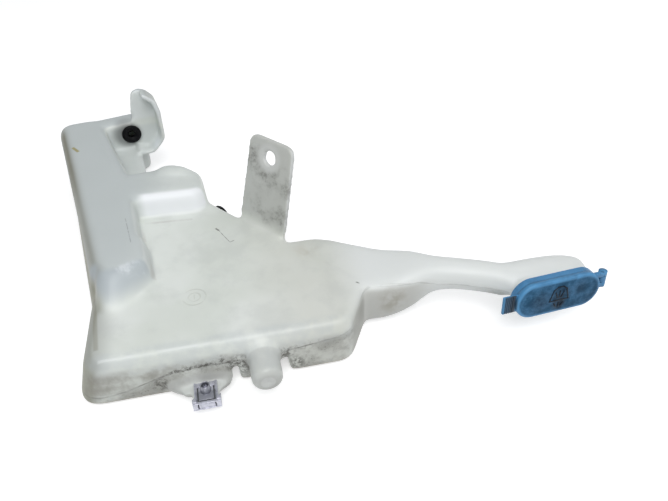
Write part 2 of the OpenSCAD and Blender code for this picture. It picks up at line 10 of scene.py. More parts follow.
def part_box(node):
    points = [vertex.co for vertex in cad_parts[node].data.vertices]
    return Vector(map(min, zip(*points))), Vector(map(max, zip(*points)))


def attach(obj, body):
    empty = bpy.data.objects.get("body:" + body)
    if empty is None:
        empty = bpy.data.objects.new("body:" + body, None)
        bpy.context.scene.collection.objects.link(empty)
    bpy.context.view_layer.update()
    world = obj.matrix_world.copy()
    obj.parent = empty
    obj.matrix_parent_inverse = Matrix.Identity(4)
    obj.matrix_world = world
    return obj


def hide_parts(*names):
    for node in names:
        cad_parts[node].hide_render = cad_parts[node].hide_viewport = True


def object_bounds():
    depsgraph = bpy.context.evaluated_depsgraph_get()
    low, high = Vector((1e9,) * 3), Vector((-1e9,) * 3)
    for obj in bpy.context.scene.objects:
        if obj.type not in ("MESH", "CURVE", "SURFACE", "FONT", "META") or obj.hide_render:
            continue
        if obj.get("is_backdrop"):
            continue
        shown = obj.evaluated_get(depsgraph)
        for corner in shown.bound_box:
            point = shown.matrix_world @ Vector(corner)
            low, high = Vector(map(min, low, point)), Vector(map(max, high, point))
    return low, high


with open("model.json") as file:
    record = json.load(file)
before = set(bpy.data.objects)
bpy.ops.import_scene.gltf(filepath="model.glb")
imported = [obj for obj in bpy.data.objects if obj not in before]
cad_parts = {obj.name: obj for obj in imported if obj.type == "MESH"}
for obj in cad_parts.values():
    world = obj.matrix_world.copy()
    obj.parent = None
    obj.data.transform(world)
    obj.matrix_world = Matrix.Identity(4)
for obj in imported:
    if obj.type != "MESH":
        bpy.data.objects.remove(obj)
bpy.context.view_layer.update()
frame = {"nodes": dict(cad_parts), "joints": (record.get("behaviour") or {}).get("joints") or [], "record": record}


# Tank: one shell of milky polyethylene, blown in a split mould, so every corner is soft and a
# parting line runs round its edge. The bracket, the pump guard, the peg and the clip lug are
# moulded on with it. Years under a bonnet have left grime below the line and on the bracket.
mounts = {m["name"]: m for m in frame["record"]["mounts"]}
peg_at = Vector(mounts["locating_peg"]["pos_m"])
hole_at = Vector(mounts["bracket_hole"]["pos_m"])
pump_at = Vector(mounts["pump_port"]["pos_m"])
rear_at = Vector(mounts["rear_port"]["pos_m"])
screw_at = Vector(mounts["clip_thread"]["pos_m"])
lid_hinge = frame["joints"][0]
hinge_at = Vector(lid_hinge["pos_m"])
hinge_axis = Vector(lid_hinge["axis"])
# Corner of the front wall's left end on the rest plane, from which the tank's own places count
datum = peg_at - Vector((0.133, -0.0111, 0.027))


def new_piece(name, bm, material, body="tank"):
    mesh = bpy.data.meshes.new(name)
    bm.to_mesh(mesh)
    bm.free()
    for polygon in mesh.polygons:
        polygon.use_smooth = True
    piece = bpy.data.objects.new(name, mesh)
    bpy.context.scene.collection.objects.link(piece)
    piece.data.materials.append(material)
    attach(piece, body)
    return piece


def apply_modifiers(piece):
    """Works the modifiers of a piece into its mesh."""
    depsgraph = bpy.context.evaluated_depsgraph_get()
    mesh = bpy.data.meshes.new_from_object(piece.evaluated_get(depsgraph))
    piece.modifiers.clear()
    piece.data = mesh


def start_material(name, roughness, home=Matrix.Identity(4)):
    """Material with its node tree, its shader and the place on the surface, counted from home."""
    material = bpy.data.materials.new(name)
    material.use_nodes = True
    tree = material.node_tree
    shader = tree.nodes["Principled BSDF"]
    shader.inputs["Roughness"].default_value = roughness
    mapping = tree.nodes.new("ShaderNodeMapping")
    mapping.vector_type = "TEXTURE"
    mapping.inputs["Location"].default_value = home.to_translation()
    mapping.inputs["Rotation"].default_value = home.to_euler()
    tree.links.new(tree.nodes.new("ShaderNodeTexCoord").outputs["Object"], mapping.inputs["Vector"])
    return material, tree, shader, mapping.outputs["Vector"]


def parts_of(tree, vector):
    node = tree.nodes.new("ShaderNodeSeparateXYZ")
    tree.links.new(vector, node.inputs[0])
    return node.outputs


def feed(tree, socket, value):
    if isinstance(value, bpy.types.NodeSocket):
        tree.links.new(value, socket)
    else:
        socket.default_value = value


def reckon(tree, operation, a, b=0.0):
    node = tree.nodes.new("ShaderNodeMath")
    node.operation = operation
    feed(tree, node.inputs[0], a)
    feed(tree, node.inputs[1], b)
    return node.outputs[0]


def scaled(tree, value, gain, base):
    """Value times gain plus base."""
    return reckon(tree, "ADD", reckon(tree, "MULTIPLY", value, gain), base)


def aside(tree, value, middle=0.0):
    """How far a value lies from a middle, to either side."""
    return reckon(tree, "ABSOLUTE", reckon(tree, "SUBTRACT", value, middle))


def step(tree, value, low, high):
    """Mask that goes softly from 0 at low to 1 at high; low may be the larger of the two."""
    node = tree.nodes.new("ShaderNodeMapRange")
    node.interpolation_type = "SMOOTHSTEP"
    feed(tree, node.inputs["Value"], value)
    start, end, first, last = (low, high, 0.0, 1.0) if low < high else (high, low, 1.0, 0.0)
    node.inputs["From Min"].default_value = start
    node.inputs["From Max"].default_value = end
    node.inputs["To Min"].default_value = first
    node.inputs["To Max"].default_value = last
    return node.outputs["Result"]


def grain(tree, place, scale, detail=2.0, roughness=0.5, stretch=(1, 1, 1)):
    mapping = tree.nodes.new("ShaderNodeMapping")
    mapping.inputs["Scale"].default_value = stretch
    tree.links.new(place, mapping.inputs["Vector"])
    node = tree.nodes.new("ShaderNodeTexNoise")
    tree.links.new(mapping.outputs["Vector"], node.inputs["Vector"])
    node.inputs["Scale"].default_value = scale
    node.inputs["Detail"].default_value = detail
    node.inputs["Roughness"].default_value = roughness
    return node.outputs["Fac"]


def tint(tree, amount, under, over):
    node = tree.nodes.new("ShaderNodeMix")
    node.data_type = "RGBA"
    feed(tree, node.inputs["Factor"], amount)
    feed(tree, node.inputs["A"], under)
    feed(tree, node.inputs["B"], over)
    return node.outputs["Result"]


def coat(tree, under, mask, strength, over):
    return tint(tree, reckon(tree, "MULTIPLY", mask, strength), under, (*over, 1))


def all_of(tree, *masks, by="MULTIPLY"):
    total = masks[0]
    for mask in masks[1:]:
        total = reckon(tree, by, total, mask)
    return total


def any_of(tree, *masks):
    return all_of(tree, *masks, by="MAXIMUM")


def away(tree, place, centre):
    """Distance of the place on the surface from a point."""
    node = tree.nodes.new("ShaderNodeVectorMath")
    node.operation = "DISTANCE"
    node.inputs[1].default_value = centre
    tree.links.new(place, node.inputs[0])
    return node.outputs["Value"]


def spot(tree, place, centre, inner, outer):
    """Mask of a soft round patch about a point."""
    return step(tree, away(tree, place, centre), outer, inner)


def stroke(tree, place, start, end, width):
    """Mask of a thin mark between two points, seen from above."""
    run = Vector((end[0] - start[0], end[1] - start[1]))
    mapping = tree.nodes.new("ShaderNodeMapping")
    mapping.vector_type = "TEXTURE"
    mapping.inputs["Location"].default_value = ((start[0] + end[0]) / 2, (start[1] + end[1]) / 2, 0)
    mapping.inputs["Rotation"].default_value = (0, 0, math.atan2(run.y, run.x))
    tree.links.new(place, mapping.inputs["Vector"])
    along, across, _ = parts_of(tree, mapping.outputs["Vector"])
    half = run.length / 2
    along = step(tree, aside(tree, along), half + 0.0004, half - 0.0016)
    across = step(tree, aside(tree, across), width, width * 0.35)
    return all_of(tree, along, across)


def raise_surface(tree, shader, height, distance, strength=1.0):
    bump = tree.nodes.new("ShaderNodeBump")
    bump.inputs["Distance"].default_value = distance
    bump.inputs["Strength"].default_value = strength
    tree.links.new(height, bump.inputs["Height"])
    tree.links.new(bump.outputs["Normal"], shader.inputs["Normal"])


milky, tree, shader, place = start_material("milky_polyethylene", 0.42, Matrix.Translation(datum))
shader.inputs["IOR"].default_value = 1.5
shader.inputs["Subsurface Weight"].default_value = 0.16
shader.inputs["Subsurface Radius"].default_value = (0.005, 0.005, 0.0045)
shader.inputs["Subsurface Scale"].default_value = 1.0
x, y, z = parts_of(tree, place)
nx, ny, nz = parts_of(tree, tree.nodes.new("ShaderNodeNewGeometry").outputs["Normal"])
cloud = grain(tree, place, 14, 3)
mottle = grain(tree, place, 60, 4, 0.6)
patches = grain(tree, place, 34, 5, 0.6)
flecks = grain(tree, place, 230, 5, 0.75)
speckle = grain(tree, place, 520, 3, 0.7)
faces_up = step(tree, nz, 0.45, 0.85)
faces_front = step(tree, ny, -0.30, -0.75)
faces_left = step(tree, nx, -0.10, -0.55)

# Clear milky body, a little warmer to the right, with slow clouds
colour = tint(tree, step(tree, cloud, 0.35, 0.7), (0.655, 0.690, 0.640, 1), (0.745, 0.775, 0.740, 1))
colour = coat(tree, colour, step(tree, x, 0.10, 0.18), 0.6, (0.58, 0.585, 0.53))
colour = coat(tree, colour, step(tree, x, 0.192, 0.236), 0.85, (0.728, 0.752, 0.742))
bruise = all_of(tree, faces_up, step(tree, patches, 0.44, 0.68), step(tree, x, 0.23, 0.20))
colour = coat(tree, colour, bruise, 0.2, (0.40, 0.42, 0.41))
# The column and the plateau's top are thick and look greyer and bluer
raised = all_of(tree, faces_up, step(tree, z, 0.047, 0.060), step(tree, x, 0.118, 0.108))
depth = scaled(tree, step(tree, x, 0.085, 0.030), 0.6, 0.4)
colour = coat(tree, colour, all_of(tree, raised, depth), 0.9, (0.50, 0.54, 0.54))
column_side = all_of(
    tree, step(tree, nz, 0.80, 0.45), step(tree, z, 0.012, 0.062), step(tree, x, 0.064, 0.056),
    step(tree, y, 0.060, 0.072), step(tree, y, 0.325, 0.29),
)
colour = coat(tree, colour, column_side, 0.4, (0.47, 0.51, 0.53))
# Painted shade in an olive tone on the column's left wall, which faces away from the light, stronger further back
left_shade_strength = scaled(tree, step(tree, y, 0.17, 0.25), 0.3, 0.7)
column_left_shade = all_of(
    tree, step(tree, nx, 0.02, -0.60), step(tree, y, 0.062, 0.084), step(tree, x, 0.030, 0.020),
    step(tree, y, 0.345, 0.315), left_shade_strength,
)
colour = coat(tree, colour, column_left_shade, 0.85, (0.20, 0.19, 0.14))
# Painted shade on the front-facing ramp at the column's front end, and a painted highlight along its top edge
ramp_shade = all_of(
    tree, step(tree, ny, -0.12, -0.40), step(tree, z, 0.047, 0.060), step(tree, x, 0.066, 0.058),
    step(tree, y, 0.125, 0.105),
)
colour = coat(tree, colour, ramp_shade, 0.8, (0.42, 0.465, 0.49))
gleam = all_of(tree, stroke(tree, place, (0.028, 0.079), (0.048, 0.087), 0.0070), step(tree, z, 0.052, 0.058))
colour = coat(tree, colour, all_of(tree, gleam, step(tree, mottle, 0.36, 0.60)), 0.5, (0.84, 0.87, 0.89))
bay = all_of(tree, step(tree, y, 0.226, 0.240), step(tree, x, 0.070, 0.062), step(tree, z, 0.064, 0.058))
colour = coat(tree, colour, bay, 0.5, (0.58, 0.62, 0.625))
# Light comes through the plateau's thin front wall
thin_wall = all_of(
    tree, step(tree, ny, -0.15, -0.5), step(tree, y, 0.150, 0.157), step(tree, y, 0.194, 0.186),
    step(tree, z, 0.045, 0.051), step(tree, x, 0.040, 0.050), step(tree, x, 0.112, 0.106),
)
colour = coat(tree, colour, thin_wall, 0.9, (0.88, 0.90, 0.92))
# Painted shade in an olive tone on the left wall, which faces away from the light, on the front-left corner of the
# main face and in a dark line along its left edge
left_wall_shade = all_of(
    tree, faces_left, step(tree, y, 0.34, 0.30), step(tree, x, 0.040, 0.025), step(tree, z, 0.060, 0.046)
)
colour = coat(tree, colour, left_wall_shade, 0.85, (0.33, 0.33, 0.26))
left_corner_shade = all_of(
    tree, step(tree, x, 0.028, 0.008), step(tree, y, 0.085, 0.050), step(tree, z, 0.052, 0.047),
    step(tree, z, 0.034, 0.042),
)
colour = coat(tree, colour, left_corner_shade, 0.75, (0.37, 0.385, 0.36))
left_edge_shade_line = stroke(tree, place, (0.0122, 0.016), (0.0066, 0.078), 0.0026)
left_edge_shade_line = all_of(tree, left_edge_shade_line, step(tree, z, 0.034, 0.040))
colour = coat(tree, colour, left_edge_shade_line, 0.45, (0.24, 0.23, 0.17))
# The guard leaf has painted shade on its right side and is painted bright in front, and painted light comes
# through at its foot
guard = all_of(tree, step(tree, z, 0.066, 0.072), step(tree, y, 0.315, 0.322))
colour = coat(tree, colour, all_of(tree, guard, step(tree, nx, 0.15, 0.6)), 0.3, (0.30, 0.30, 0.28))
colour = coat(tree, colour, all_of(tree, guard, step(tree, ny, -0.2, -0.6)), 0.4, (0.80, 0.83, 0.87))
guard_gleam = spot(tree, place, (0.053, 0.325, 0.045), 0.003, 0.012)
guard_gleam = all_of(tree, guard_gleam, step(tree, y, 0.305, 0.315))
colour = coat(tree, colour, guard_gleam, 0.6, (0.78, 0.82, 0.88))

# Parting line: low at the left end of the front wall, and half way up at the filler tube. Its points
# are shares of a length along the wall and of a height above the rest plane
seam_from, seam_long, seam_tall = -0.01, 0.4, 0.1
seam_points = (
    (0.0, 0.11), (0.05, 0.106), (0.096, 0.134), (0.136, 0.191), (0.19, 0.262), (0.248, 0.278), (0.29, 0.262),
    (0.38, 0.273), (0.43, 0.289), (0.51, 0.336), (0.60, 0.43), (0.70, 0.42), (0.75, 0.355), (1.0, 0.355),
)
seam_run = tree.nodes.new("ShaderNodeFloatCurve")
share = tree.nodes.new("ShaderNodeMapRange")
tree.links.new(x, share.inputs["Value"])
share.inputs["From Min"].default_value = seam_from
share.inputs["From Max"].default_value = seam_from + seam_long
tree.links.new(share.outputs["Result"], seam_run.inputs["Value"])
curve = seam_run.mapping.curves[0]
curve.points[0].location = seam_points[0]
curve.points[1].location = seam_points[-1]
for point in seam_points[1:-1]:
    curve.points.new(*point)
for point in curve.points:
    point.handle_type = "VECTOR"
seam_run.mapping.update()
off_seam = reckon(tree, "SUBTRACT", z, reckon(tree, "MULTIPLY", seam_run.outputs["Value"], seam_tall))
near_seam = aside(tree, off_seam)
on_wall = all_of(
    tree, step(tree, ny, -0.2, -0.55), step(tree, y, -0.0022, -0.0008), step(tree, y, 0.075, 0.06)
)
seam = all_of(tree, step(tree, near_seam, 0.0009, 0.0003), on_wall)
seam_dirt = all_of(tree, seam, step(tree, grain(tree, place, 85, 4), 0.40, 0.60))
seam_share = scaled(tree, step(tree, x, 0.205, 0.175), 0.65, 0.35)
colour = coat(tree, colour, all_of(tree, seam_dirt, seam_share), 0.6, (0.13, 0.125, 0.105))

# Front wall: a grey film, partly road grime and partly painted shade where the wall faces front, also on the peg
# and the lug and bluish under the edge; browner at its left end, and grime specks on and below the line
front_wall = all_of(tree, faces_front, step(tree, y, 0.034, 0.014), step(tree, z, 0.039, 0.029))
uneven = scaled(tree, step(tree, patches, 0.36, 0.64), 0.75, 0.28)
colour = coat(tree, colour, all_of(tree, front_wall, uneven), 0.82, (0.35, 0.35, 0.325))
front_band = all_of(
    tree, step(tree, y, 0.016, 0.009), step(tree, z, 0.026, 0.034), step(tree, x, 0.26, 0.22),
    step(tree, mottle, 0.34, 0.62),
)
colour = coat(tree, colour, front_band, 0.35, (0.48, 0.515, 0.53))
standing_out = all_of(tree, step(tree, y, -0.001, -0.003), step(tree, x, 0.30, 0.25))
colour = coat(tree, colour, standing_out, 0.42, (0.42, 0.43, 0.42))
bare_wall = all_of(tree, front_wall, step(tree, y, -0.0025, -0.0008))
brown = all_of(
    tree, bare_wall, step(tree, x, 0.075, 0.045), step(tree, off_seam, 0.0, 0.004),
    step(tree, patches, 0.38, 0.58),
)
colour = coat(tree, colour, brown, 0.45, (0.25, 0.235, 0.195))
low_edge = all_of(tree, step(tree, z, 0.0075, 0.002), step(tree, y, 0.09, 0.03), step(tree, x, 0.24, 0.21))
colour = coat(tree, colour, low_edge, 0.45, (0.42, 0.375, 0.28))
below = all_of(tree, bare_wall, step(tree, off_seam, 0.003, -0.005), step(tree, patches, 0.36, 0.60))
along_line = all_of(
    tree, bare_wall, step(tree, near_seam, 0.011, 0.001), step(tree, flecks, 0.46, 0.60),
    step(tree, x, 0.035, 0.065),
)
fine = scaled(tree, step(tree, speckle, 0.50, 0.68), 0.55, 0.25)
grime = all_of(tree, any_of(tree, below, along_line), fine)
colour = coat(tree, colour, grime, 0.85, (0.15, 0.145, 0.12))
# Painted shade on the right end face of the body, at its corner with the funnel
end_wall_shade = all_of(
    tree, step(tree, nx, 0.55, 0.95), step(tree, x, 0.185, 0.200), step(tree, y, 0.055, 0.040),
    step(tree, z, 0.045, 0.036),
)
colour = coat(tree, colour, end_wall_shade, 0.7, (0.24, 0.235, 0.205))
# Black dirt is caught in the line over the lug; beside the lug and on both sides of the peg the wall is darkened
# with near-black patches, broken by flecks
over_lug = all_of(
    tree, step(tree, near_seam, 0.0024, 0.0006), step(tree, x, 0.054, 0.064), step(tree, x, 0.112, 0.106)
)
dark_spots_by_lug_and_peg = (
    ((0.115, 0.002, 0.021), 0.006, 0.015), ((0.054, 0.0, 0.015), 0.002, 0.010),
    ((0.101, 0.001, 0.031), 0.001, 0.008), ((0.150, 0.001, 0.025), 0.001, 0.010),
    ((0.158, 0.001, 0.011), 0.002, 0.012),
)
dark_by_lug_and_peg = any_of(tree, over_lug, *(spot(tree, place, *dark_spot_by_lug_and_peg) for dark_spot_by_lug_and_peg in dark_spots_by_lug_and_peg))
dark_by_lug_and_peg = all_of(tree, dark_by_lug_and_peg, bare_wall, step(tree, flecks, 0.44, 0.56))
colour = coat(tree, colour, dark_by_lug_and_peg, 0.8, (0.060, 0.058, 0.046))
# Painted highlights: a bright line along the front edge of the main face, and a bright ring round the dimple in
# the peg's end
edge_highlight = stroke(tree, place, (0.013, 0.0062), (0.099, 0.0062), 0.0013)
edge_highlight = all_of(tree, edge_highlight, step(tree, mottle, 0.42, 0.60))
colour = coat(tree, colour, edge_highlight, 0.2, (0.93, 0.95, 0.95))
peg_ring_highlight = spot(tree, place, (0.133, -0.026, 0.027), 0.0050, 0.0062)
peg_ring_highlight = all_of(tree, peg_ring_highlight, step(tree, y, -0.0235, -0.0245))
colour = coat(tree, colour, peg_ring_highlight, 0.18, (0.90, 0.92, 0.92))
# Dirt on the bracket lies in patches, with a clean ring where its bolt head sat
on_bracket = all_of(
    tree, step(tree, z, 0.047, 0.058), spot(tree, place, (0.162, 0.142, 0.085), 0.060, 0.066),
    step(tree, x, 0.122, 0.130),
)
# The whole bracket is greyed, partly with dirt and partly with painted shade on its front-facing face
colour = coat(tree, colour, on_bracket, 0.50, (0.38, 0.385, 0.375))
# Painted highlight: faces of the bracket's rim that turn to the front and right are painted lighter
rim_x, rim_y = 0.63, 0.776
faces_rim = reckon(tree, "SUBTRACT", reckon(tree, "MULTIPLY", nx, rim_x), reckon(tree, "MULTIPLY", ny, rim_y))
bracket_rim_highlight = all_of(tree, on_bracket, step(tree, faces_rim, 0.5, 0.85))
colour = coat(tree, colour, bracket_rim_highlight, 0.6, (0.68, 0.70, 0.70))
dirt_spots = (
    ((0.150, 0.163, 0.110), 0.028), ((0.160, 0.147, 0.095), 0.024), ((0.169, 0.138, 0.098), 0.021),
    ((0.150, 0.143, 0.058), 0.026), ((0.166, 0.125, 0.060), 0.028), ((0.178, 0.128, 0.092), 0.018),
)
patch = any_of(tree, *(spot(tree, place, centre, 0.002, reach) for centre, reach in dirt_spots))
hole_ring = spot(tree, place, hole_at - datum, 0.010, 0.016)
off_ring = reckon(tree, "SUBTRACT", 1.0, hole_ring)
cloudy = scaled(tree, step(tree, flecks, 0.44, 0.60), 0.5, 0.3)
bracket_dirt = all_of(tree, on_bracket, patch, off_ring, step(tree, mottle, 0.40, 0.62), cloudy)
colour = coat(tree, colour, bracket_dirt, 0.8, (0.13, 0.125, 0.11))
colour = coat(tree, colour, all_of(tree, on_bracket, hole_ring), 0.45, (0.66, 0.67, 0.66))
# Grey film, partly grime and partly painted shade, and a brown blotch on the funnel's front; painted shade round
# the pump's grommet in its recess
funnel_front = all_of(
    tree, faces_front, step(tree, x, 0.206, 0.224), step(tree, x, 0.292, 0.262), step(tree, z, 0.044, 0.038)
)
colour = coat(tree, colour, funnel_front, 0.6, (0.37, 0.365, 0.33))
blotch = all_of(tree, spot(tree, place, (0.2476, 0.036, 0.028), 0.003, 0.019), step(tree, mottle, 0.34, 0.60))
colour = coat(tree, colour, blotch, 0.6, (0.27, 0.245, 0.185))
pump_out = Vector(mounts["pump_port"]["axis"])
pump_shade_at = pump_at - datum + Vector((-0.005, 0, 0))
colour = coat(tree, colour, spot(tree, place, pump_shade_at, 0.009, 0.020), 0.72, (0.12, 0.125, 0.125))
# Painted shade: what shows through the grommet's bore is painted near-black
bore_end = pump_at - datum - pump_out * 0.014
bore_shade = all_of(tree, spot(tree, place, bore_end, 0.0085, 0.0105), step(tree, ny, 0.2, -0.2))
colour = coat(tree, colour, bore_shade, 0.95, (0.012, 0.012, 0.012))
# Painted shade: the lug's tongue is painted black where the clip covers it
screw_off = screw_at - datum
under_clip_shade = all_of(
    tree, step(tree, aside(tree, x, screw_off.x), 0.0086, 0.0080),
    step(tree, y, screw_off.y + 0.005, screw_off.y + 0.003), step(tree, y, 0.0, -0.002),
)
colour = coat(tree, colour, under_clip_shade, 0.9, (0.055, 0.058, 0.065))
# Marks of use: a bent scratch, a hairline on the column, a yellow smear, a nick and a faint stain
scratches = (
    ((0.1096, 0.1451), (0.1128, 0.1402), 0.0013), ((0.1118, 0.1422), (0.1209, 0.1213), 0.0004),
    ((0.1205, 0.1213), (0.1252, 0.1236), 0.0006), ((0.2177, 0.0458), (0.2211, 0.0443), 0.0010),
)
scratch = any_of(tree, *(stroke(tree, place, *line) for line in scratches))
scratch = all_of(tree, scratch, step(tree, flecks, 0.34, 0.52), faces_up)
colour = coat(tree, colour, scratch, 0.8, (0.07, 0.065, 0.055))
hairline = stroke(tree, place, (0.0335, 0.149), (0.0393, 0.1125), 0.0005)
hairline = all_of(tree, hairline, step(tree, flecks, 0.40, 0.56))
colour = coat(tree, colour, hairline, 0.55, (0.20, 0.21, 0.22))
smear = stroke(tree, place, (-0.0243, 0.2877), (-0.0170, 0.2761), 0.0022)
smear = all_of(tree, smear, step(tree, z, 0.06, 0.066))
colour = coat(tree, colour, smear, 0.9, (0.33, 0.29, 0.11))
stain = all_of(tree, spot(tree, place, (0.186, 0.094, 0.046), 0.002, 0.018), step(tree, mottle, 0.38, 0.6))
colour = coat(tree, colour, stain, 0.3, (0.46, 0.42, 0.34))
# Painted shade lies in the creases at the foot of the column and the plateau
creases = (
    ((0.0440, 0.157), (0.0489, 0.1129), 0.0026), ((0.0486, 0.1150), (0.0550, 0.0830), 0.0026),
    ((0.046, 0.1665), (0.090, 0.1640), 0.0020),
)
crease_shade = any_of(tree, *(stroke(tree, place, *line) for line in creases))
crease_shade = all_of(tree, crease_shade, step(tree, patches, 0.32, 0.58), step(tree, z, 0.056, 0.052))
colour = coat(tree, colour, crease_shade, 0.3, (0.40, 0.37, 0.345))
# Plain round mould mark pressed into the main face
from_mark = away(tree, place, (0.086, 0.0575, 0.046))
outer_ring = step(tree, aside(tree, from_mark, 0.0092), 0.0009, 0.0003)
inner_ring = step(tree, aside(tree, from_mark, 0.0048), 0.0008, 0.0003)
mark = any_of(tree, outer_ring, inner_ring, stroke(tree, place, (0.086, 0.054), (0.086, 0.061), 0.0007))
mark = all_of(tree, mark, faces_up, step(tree, mottle, 0.30, 0.55))
colour = coat(tree, colour, mark, 0.30, (0.40, 0.41, 0.36))
tree.links.new(colour, shader.inputs["Base Color"])
# The side walls that carry painted shade lose gloss, and grime takes the gloss off the front wall
matt = any_of(tree, column_left_shade, left_wall_shade, end_wall_shade)
tree.links.new(scaled(tree, matt, -0.44, 0.5), shader.inputs["Specular IOR Level"])
tree.links.new(scaled(tree, grime, 0.3, scaled(tree, mottle, 0.16, 0.33)), shader.inputs["Roughness"])
skin = scaled(tree, mark, -0.6, reckon(tree, "MULTIPLY", mottle, 0.5))
raise_surface(tree, shader, reckon(tree, "ADD", skin, seam), 0.0005, 0.6)

# Mesh: the lengths of the moulding become one even skin, which is then softened zone by zone
skin_voxel, weld, most_triangles = 0.0014, 0.00002, 185000
soft_rounds, crisp_rounds, firm_rounds = 14, 8, 4
root_near, root_sunk = 0.0005, 0.0016
shell_parts = ("tank", "pump_end", "filler_tube", "filler_horn", "clip_lug")
bm = bmesh.new()
for part in shell_parts:
    known = len(bm.verts)
    bm.from_mesh(frame["nodes"][part].data)
    if part == "clip_lug":
        # The lug's root goes a little into the wall, so that the two flow into one skin
        root = [v for v in list(bm.verts)[known:] if v.co.y > datum.y - root_near]
        bmesh.ops.translate(bm, verts=root, vec=(0, root_sunk, 0))
# Where two lengths of the shell meet, their end faces go and the walls run on
meetings = ((1, datum.y + 0.240), (0, datum.x + 0.234), (0, datum.x + 0.334))
ends = [f for f in bm.faces if any(all(abs(v.co[k] - at) < weld for v in f.verts) for k, at in meetings)]
bmesh.ops.delete(bm, geom=ends, context="FACES_ONLY")
bmesh.ops.remove_doubles(bm, verts=bm.verts, dist=weld)
tank = new_piece("blown_tank", bm, milky)
remesh = tank.modifiers.new("even_skin", "REMESH")
remesh.mode = "VOXEL"
remesh.voxel_size = skin_voxel
apply_modifiers(tank)
bm = bmesh.new()
bm.from_mesh(tank.data)
peg_root, root_deep = 0.018, 0.005
guard_foot, wall_front = 0.0765, 0.001
mouth_from, mouth_deep = 0.335, 0.022
seat_reach = 0.017
bracket_foot, bracket_reach, bracket_from = 0.050, 0.075, 0.118
edge_low, edge_high, edge_deep = 0.030, 0.048, 0.016
left_wide, left_deep = 0.014, 0.07


def is_firm(co):
    """Parts of the moulding with crisp edges: bracket, guard, peg, lug, mouth and grommet seats."""
    off_peg = math.hypot(co.x - peg_at.x, co.z - peg_at.z)
    if off_peg < peg_root and abs(co.y - datum.y) < root_deep:
        return False
    if co.z > guard_foot or co.y < datum.y - wall_front:
        return True
    if co.x > datum.x + mouth_from and co.y < datum.y + mouth_deep:
        return True
    if (co - rear_at).length < seat_reach or (co - pump_at).length < seat_reach:
        return True
    return co.z > bracket_foot and (co - hole_at).length < bracket_reach and co.x > datum.x + bracket_from


def is_crisp(co):
    """Edge of the main face along the front wall and the front of the left wall."""
    along_left = co.x < datum.x + left_wide and co.y < datum.y + left_deep
    return edge_low < co.z < edge_high and (co.y < datum.y + edge_deep or along_left)


not_firm = [v for v in bm.verts if not is_firm(v.co)]
soft = [v for v in not_firm if not is_crisp(v.co)]
for rounds, verts in ((soft_rounds, soft), (crisp_rounds, not_firm), (firm_rounds, bm.verts)):
    for _ in range(rounds):
        bmesh.ops.smooth_vert(bm, verts=verts, factor=0.5, use_axis_x=True, use_axis_y=True, use_axis_z=True)
bm.to_mesh(tank.data)
bm.free()
thin = tank.modifiers.new("lighter", "DECIMATE")
thin.ratio = min(1.0, most_triangles / (2 * len(tank.data.polygons)))
apply_modifiers(tank)
# Flash left by the mould stands a little proud of the front wall, all along the parting line
bm = bmesh.new()
bm.from_mesh(tank.data)
wall = BVHTree.FromBMesh(bm)
flash_half, flash_proud, flash_sunk, flash_root = 0.0006, 0.0003, 0.0005, 0.0009
flash_start, flash_end, flash_steps = 0.002, 0.196, 160
least_rings = 4
sight, wall_slack, wall_facing = 0.06, 0.0025, -0.6
corners = ((flash_half, flash_sunk), (0, -flash_proud), (-flash_half, flash_sunk), (0, flash_root))
runs = [[]]
for k in range(flash_steps + 1):
    off = flash_start + (flash_end - flash_start) * k / flash_steps
    at = (off - seam_from) / seam_long
    left, right = next((a, b) for a, b in zip(seam_points, seam_points[1:]) if a[0] <= at <= b[0])
    up = seam_tall * (left[1] + (right[1] - left[1]) * (at - left[0]) / (right[0] - left[0]))
    found, normal, _, _ = wall.ray_cast(Vector((datum.x + off, datum.y - sight, up)), Vector((0, 1, 0)))
    # The peg, the lug and the scallops interrupt it
    if found is None or normal.y > wall_facing or abs(found.y - datum.y) > wall_slack:
        runs.append([])
        continue
    runs[-1].append([found + Vector((0, deep, rise)) for rise, deep in corners])
for run in runs:
    if len(run) >= least_rings:
        rings = [[bm.verts.new(co) for co in ring] for ring in run]
        made = [bm.faces.new(rings[0]), bm.faces.new(rings[-1])]
        for near, far in zip(rings, rings[1:]):
            made += [bm.faces.new((near[i - 1], near[i], far[i], far[i - 1])) for i in range(len(corners))]
        bmesh.ops.recalc_face_normals(bm, faces=made)
bm.to_mesh(tank.data)
bm.free()
for polygon in tank.data.polygons:
    polygon.use_smooth = True
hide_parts(*shell_parts)


# Grommets: two black rubber bushes, pressed into the blown wall so that a groove grips it. The
# pump's nipple and the sensor push into them.
def turned(profile, place_matrix, steps=64):
    """Closed ring made by spinning an outline of radius and height about its own axis."""
    bm = bmesh.new()
    ring = [bm.verts.new((r, 0, z)) for r, z in profile]
    edges = [bm.edges.new((ring[i - 1], ring[i])) for i in range(len(ring))]
    bmesh.ops.spin(
        bm, geom=ring + edges, cent=(0, 0, 0), axis=(0, 0, 1), angle=2 * math.pi, steps=steps, use_merge=True
    )
    bmesh.ops.remove_doubles(bm, verts=bm.verts, dist=0.000005)
    bmesh.ops.recalc_face_normals(bm, faces=bm.faces)
    bm.transform(place_matrix)
    return bm


rubber, tree, shader, place = start_material("black_rubber", 0.5)
shader.inputs["Specular IOR Level"].default_value = 0.12
dust = step(tree, grain(tree, place, 260, 4, 0.7), 0.52, 0.74)
colour = tint(tree, reckon(tree, "MULTIPLY", dust, 0.3), (0.004, 0.004, 0.005, 1), (0.026, 0.025, 0.024, 1))
tree.links.new(colour, shader.inputs["Base Color"])
raise_surface(tree, shader, grain(tree, place, 900, 2), 0.0001, 0.4)

grommet_bore = mounts["pump_port"]["dims"]["r_mm"] / 1000
grommet_neck, grommet_flange, lip_bore = 0.008, 0.0104, 0.0036
